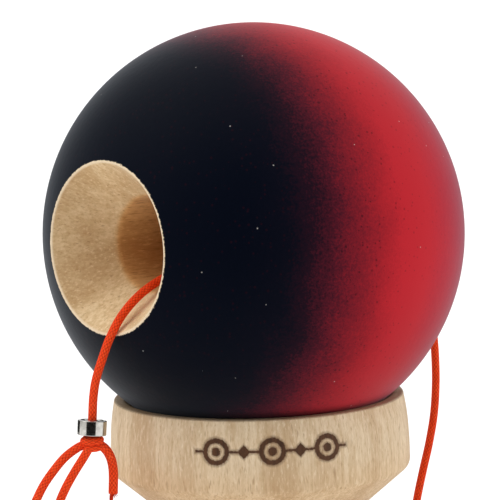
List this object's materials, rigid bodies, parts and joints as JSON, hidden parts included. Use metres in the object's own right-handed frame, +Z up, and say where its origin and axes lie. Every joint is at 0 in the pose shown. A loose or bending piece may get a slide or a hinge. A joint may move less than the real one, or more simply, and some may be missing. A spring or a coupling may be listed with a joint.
{
  "type": "kendama",
  "caption": "Wooden skill toy: a painted ball with a bevelled hole sits in the big cup of a turned crosspiece, with a spiked handle, a string and a bearing bead.",
  "frame": {"origin": "under the middle of the toy without its string, on the surface it stands on", "axes": "+X along the handle towards the spike, +Y to the side the string leaves from, +Z up"},
  "size_m": [0.163, 0.067, 0.1232],
  "materials": {
    "beech": "sanded, oiled, satin",
    "ball_paint": "matt rubbery paint, dark navy fading to red",
    "cord": "fine braid",
    "steel": "polished"
  },
  "bodies": {
    "cross_and_handle": {"crosspiece": "beech", "handle": "beech", "handle_knot": "cord", "string_from_handle": "cord", "string_coil": "cord", "string_to_ball": "cord"},
    "string_end": {"string_through_ball": "cord", "stopper_knot": "cord", "string_loop": "cord", "string_tail": "cord"},
    "ball": {"ball": "ball_paint"},
    "bearing_core": {"bearing_inner_ring": "steel"},
    "bearing_shell": {"bearing_outer_ring": "steel", "bearing_upper_shield": "steel", "bearing_lower_shield": "steel"},
    "bearing_balls": {"bearing_cage": "steel", "bearing_ball_1": "steel", "bearing_ball_2": "steel", "bearing_ball_3": "steel", "bearing_ball_4": "steel", "bearing_ball_5": "steel", "bearing_ball_6": "steel", "bearing_ball_7": "steel"}
  },
  "joints": [
    {"name": "ball_lift", "type": "slide", "parent": "cross_and_handle", "child": "string_end", "axis": [0, 0, 1], "range_m": [0, 0.26]},
    {"name": "ball_spin", "type": "hinge", "parent": "string_end", "child": "ball", "pos_m": [0.0195, 0, 0.0932], "axis": [-0.7346, -0.6778, 0.0314], "continuous": true},
    {"name": "bearing_slide", "type": "slide", "parent": "string_end", "child": "bearing_core", "axis": [0.0804, 0.0742, 0.994], "range_m": [0, 0.0032]},
    {"name": "bearing_spin", "type": "hinge", "parent": "bearing_core", "child": "bearing_shell", "pos_m": [-0.00331, -0.02336, 0.0702], "axis": [0.0804, 0.0742, 0.994], "continuous": true},
    {"name": "bearing_cage_spin", "type": "hinge", "parent": "bearing_core", "child": "bearing_balls", "pos_m": [-0.00331, -0.02336, 0.0702], "axis": [0.0804, 0.0742, 0.994], "continuous": true}
  ],
  "couplings": [
    {"joint": "bearing_cage_spin", "follows": "bearing_spin", "ratio": 0.591}
  ]
}
